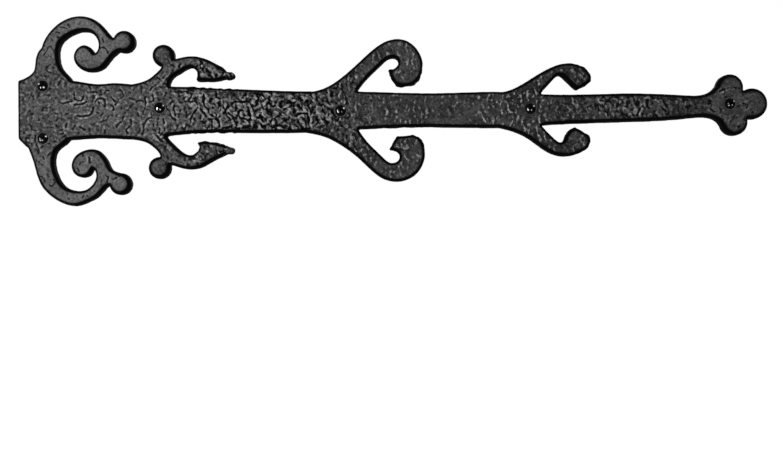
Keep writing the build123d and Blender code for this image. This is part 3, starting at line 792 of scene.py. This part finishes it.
    # the front moves along -Y, with a slow swell, and the sides along their own normal
    uneasy = {}
    for name, detail, amount in (("swell", 2.0, "swellHeight"), ("wobble", 1.0, "wobble")):
        noise = addNode(tree, "ShaderNodeTexNoise", {"Vector": place, "Scale": scale[name], "Detail": detail})[0]
        noise = addNode(tree, "ShaderNodeMath", {0: noise, 1: 0.5}, operation="SUBTRACT")[0]
        uneasy[name] = addNode(tree, "ShaderNodeMath", {0: noise, 1: given[amount]}, operation="MULTIPLY")[0]
    swell = addNode(tree, "ShaderNodeMath", {0: uneasy["swell"], 1: faceOn}, operation="MULTIPLY")[0]
    rise = addNode(tree, "ShaderNodeMath", {0: height, 1: swell}, operation="ADD")[0]
    lift = addNode(tree, "ShaderNodeVectorMath", {0: (0, -1, 0), "Scale": rise}, operation="SCALE")[0]
    least = cast["leastWobble"]
    branch = addNode(tree, "ShaderNodeMapRange", {0: outFrom} | spans(cast["branchInner"], (least, 1.0), mm))[0]
    outer = addNode(tree, "ShaderNodeMapRange", {0: outFrom} | spans(cast["branchOuter"], (1.0, least), mm))[0]
    for limit in (outer, share["wobble"]):
        branch = addNode(tree, "ShaderNodeMath", {0: branch, 1: limit}, operation="MINIMUM")[0]
    slim = addNode(tree, "ShaderNodeMapRange",
                   {0: nearTip} | spans(cast["tipSlim"], (0.0, given["tipTrim"]), mm))[0]
    wobble = addNode(tree, "ShaderNodeMath", {0: uneasy["wobble"], 1: branch, 2: given["fullness"]},
                     operation="MULTIPLY_ADD")[0]
    wobble = addNode(tree, "ShaderNodeMath", {0: wobble, 1: slim}, operation="SUBTRACT")[0]
    sideOn = addNode(tree, "ShaderNodeMath", {0: front}, operation="ABSOLUTE")[0]
    sideOn = addNode(tree, "ShaderNodeMapRange", {0: sideOn} | spans(cast["sideEdge"]))[0]
    for factor in (sideOn, calm):
        wobble = addNode(tree, "ShaderNodeMath", {0: wobble, 1: factor}, operation="MULTIPLY")[0]
    push = addNode(tree, "ShaderNodeVectorMath", {0: normal, "Scale": wobble}, operation="SCALE")[0]
    shift = addNode(tree, "ShaderNodeVectorMath", {0: lift, 1: push}, operation="ADD")[0]
    moved = addNode(tree, "GeometryNodeSetPosition", {"Geometry": soft, "Offset": shift})[0]

    # finishes of the front, the sides, near black as painted shade, and the back
    edgeOn = addNode(tree, "ShaderNodeMath", {0: front, 1: onTip}, operation="MAXIMUM")[0]
    turned = addNode(tree, "FunctionNodeCompare", {0: edgeOn, 1: cast["sideBelow"]},
                     operation="LESS_THAN", data_type="FLOAT")[0]
    away = addNode(tree, "FunctionNodeCompare", {0: front, 1: cast["backBelow"]},
                   operation="LESS_THAN", data_type="FLOAT")[0]
    coated = addNode(tree, "GeometryNodeRealizeInstances", {"Geometry": moved})[0]
    for finish, where in (("front", True), ("side", turned), ("back", away)):
        coated = addNode(tree, "GeometryNodeSetMaterial",
                         {"Geometry": coated, "Selection": where, "Material": given[finish]})[0]
    tree.links.new(coated, out["Geometry"])
    return tree


def drawMarks(name, lines):  # each line eased through its points, as loose edges on the front face
    spots, strokes = [], []
    for line in lines:
        ends = [line[0]] + line + [line[-1]]
        eased = [line[0]]
        for a, b, c, d in zip(ends, ends[1:], ends[2:], ends[3:]):
            for t in (0.25, 0.5, 0.75, 1.0):
                eased.append([b[k] + 0.5 * t * (c[k] - a[k] + t * (2 * a[k] - 5 * b[k] + 4 * c[k] - d[k]
                              + t * (3 * b[k] - a[k] - 3 * c[k] + d[k]))) for k in (0, 1)])
        strokes += [(len(spots) + i, len(spots) + i + 1) for i in range(len(eased) - 1)]
        spots += [(x * mm, -strapCast["screwFace"] * mm, z * mm) for x, z in eased]
    return newPiece(name, newMesh(name, spots, strokes))


def makeStrap():
    cast = strapCast
    strapLow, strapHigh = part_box("strap")
    piece = newPiece("castStrap", weld(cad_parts["strap"].data, "castStrap"))
    drawn = {"screwPlaces": [[(x / mm, z / mm)] for x, z in screwPlaces],
             "leafTips": [[tip] for tip in cast["tips"]], "deepMarks": deepMarks, "faintMarks": faintMarks}
    helpers = {name: drawMarks(name, lines) for name, lines in drawn.items()}
    net = piece.modifiers.new("net", "REMESH")
    net.mode = "VOXEL"
    net.voxel_size = cast["voxel"] * mm
    inputs = {name: length * mm for name, length in cast["lengths"].items()}
    inputs |= cast["plain"] | cast["passes"] | helpers
    inputs |= {"strapLength": strapHigh.x - strapLow.x, "front": makeFrontMaterial(), "side": makeSideMaterial(),
               "back": makeBackMaterial()}
    hangTree(piece, makeStrapTree(), inputs)
    thin = piece.modifiers.new("thin", "DECIMATE")
    thin.ratio = cast["thinTo"]
    mesh = makePlain(piece)
    mesh.shade_smooth()
    for helper in helpers.values():
        bpy.data.objects.remove(helper)
    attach(piece, "root")
    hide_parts("strap")
    print("strap faces:", len(mesh.polygons))
    return piece


makeStrap()
print("strap cast")

# Stage: a pale floor below the strap that takes the lamps' light, and glows white to the camera
stageLook = {
    "floorDrop": 0.30,        # m
    "floorSize": 8.0,
    "floor": "#f2f2f2",
    "roughness": 0.9,
    # the glow grows with the distance in m from the butt edge, where the lamps' light fades
    "glowReach": (0.4, 0.75),
    "glow": (0.62, 0.8),
    "ambient": 0.24,          # the world's own light
}


def seenRays(tree):  # 1 for what the camera sees, straight or in a glossy or clear surface, else 0
    path = addNode(tree, "ShaderNodeLightPath")
    seen = path["Is Camera Ray"]
    for kind in ("Is Glossy Ray", "Is Transmission Ray"):
        seen = addNode(tree, "ShaderNodeMath", {0: seen, 1: path[kind]}, operation="MAXIMUM")[0]
    return seen


def makeStage():
    look = stageLook
    size, white = look["floorSize"], (1, 1, 1, 1)
    corners = [(-size, -size), (size, -size), (size, size), (-size, size)]
    mesh = newMesh("floor", [(x, y, -look["floorDrop"]) for x, y in corners], [], [(0, 1, 2, 3)])
    floor = newPiece("floor", mesh)
    material, tree, shader = newMaterial("paleStudioFloor")
    where = addNode(tree, "ShaderNodeTexCoord")["Object"]
    far = addNode(tree, "ShaderNodeVectorMath", {0: where}, operation="LENGTH")["Value"]
    glow = addNode(tree, "ShaderNodeMapRange", {0: far} | spans(look["glowReach"], look["glow"]))[0]
    glow = addNode(tree, "ShaderNodeMath", {0: seenRays(tree), 1: glow}, operation="MULTIPLY")[0]
    plug(tree, shader, {"Base Color": hexColour(look["floor"]), "Roughness": look["roughness"],
                        "Specular IOR Level": 0.0, "Emission Color": white, "Emission Strength": glow})
    mesh.materials.append(material)

    world = bpy.data.worlds.new("studio")
    bpy.context.scene.world = world
    world.use_nodes = True
    tree = world.node_tree
    level = addNode(tree, "ShaderNodeMapRange", {0: seenRays(tree)} | spans((0, 1), (look["ambient"], 1.0)))[0]
    plug(tree, tree.nodes["Background"], {"Color": white, "Strength": level})


makeStage()

# Lights: a soft box to the left that fades along the strap, a weaker one high on the right, and one behind
lights = {
    "key": {"at": (-0.28, -0.52, 0.12), "aim": (0.14, 0, 0), "size": 0.2, "watts": 2.5},
    "fill": {"at": (0.75, -0.7, 0.5), "aim": (0.28, 0, 0), "size": 0.25, "watts": 0.26},
    "behind": {"at": (0.45, 0.8, 0.3), "aim": (0.22, 0, 0), "size": 0.5, "watts": 6.0},
}


def makeLights():
    for name, box in lights.items():
        lamp = bpy.data.lights.new(name, "AREA")
        lamp.size = box["size"]
        lamp.energy = box["watts"]
        holder = newPiece(name, lamp)
        holder.location = box["at"]
        holder.rotation_euler = (Vector(box["aim"]) - Vector(box["at"])).to_track_quat("-Z", "Y").to_euler()


makeLights()
print("stage and lights ready")

# Camera: straight on, below the strap's middle line, as the photograph was taken
shot = {
    "at": (0.22743, -0.458, -0.07789),
    "turn": (90, 0.35, 0),    # degrees, with a slight roll
    "lens": 34.15,            # mm
    "sensor": 36.0,
    "nearest": 0.01,          # m
}


def makeCamera():
    view = bpy.data.cameras.new("photoView")
    view.sensor_width = shot["sensor"]
    view.lens = shot["lens"]
    view.clip_start = shot["nearest"]
    holder = newPiece("photoView", view)
    holder.location = shot["at"]
    holder.rotation_euler = [math.radians(angle) for angle in shot["turn"]]
    bpy.context.scene.camera = holder


makeCamera()
bpy.context.scene.view_settings.view_transform = "Standard"

bpy.context.view_layer.update()
